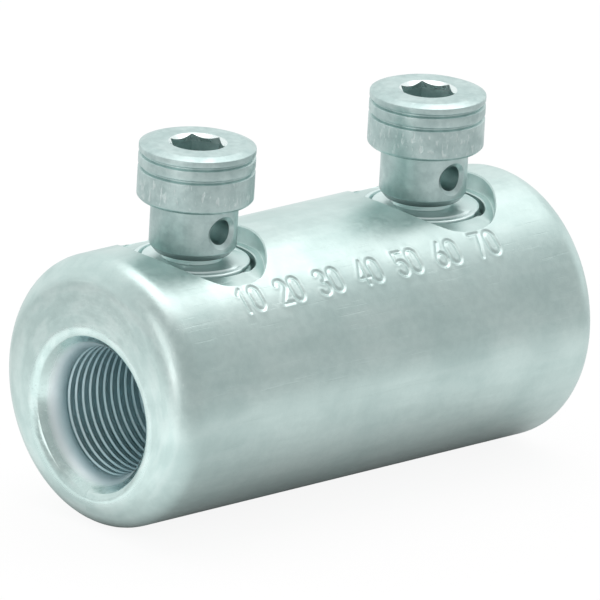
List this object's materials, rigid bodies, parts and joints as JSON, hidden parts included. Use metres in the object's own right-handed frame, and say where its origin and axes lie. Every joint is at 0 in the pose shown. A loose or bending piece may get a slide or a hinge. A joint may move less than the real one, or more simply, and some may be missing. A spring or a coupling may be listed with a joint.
{
  "type": "shear screw cable connector",
  "caption": "Round metal sleeve with a conductor bore in each end and shear-head hexagon-socket screws that clamp bare cable conductors end to end.",
  "frame": {"origin": "middle of the sleeve's length, on its lowest line (bottom centre of the bounding box)", "axes": "+X along the sleeve from end a to end b, +Z along the screws from the sleeve to their heads"},
  "size_m": [0.0572, 0.028, 0.0383],
  "materials": {
    "sleeve_metal": "tin-plated, satin, with light handling marks",
    "screw_metal": "tin-plated, turned, duller than the sleeve"
  },
  "bodies": {
    "sleeve_body": {"sleeve": "sleeve_metal"},
    "screw_a": {"shear_screw_a": "screw_metal"},
    "screw_b": {"shear_screw_b": "screw_metal"}
  },
  "joints": [
    {"name": "screw_a_travel", "type": "slide", "parent": "sleeve_body", "child": "screw_a", "axis": [0, 0, -1], "range_m": [-0.006, 0.006]},
    {"name": "screw_b_travel", "type": "slide", "parent": "sleeve_body", "child": "screw_b", "axis": [0, 0, -1], "range_m": [-0.006, 0.006]}
  ]
}
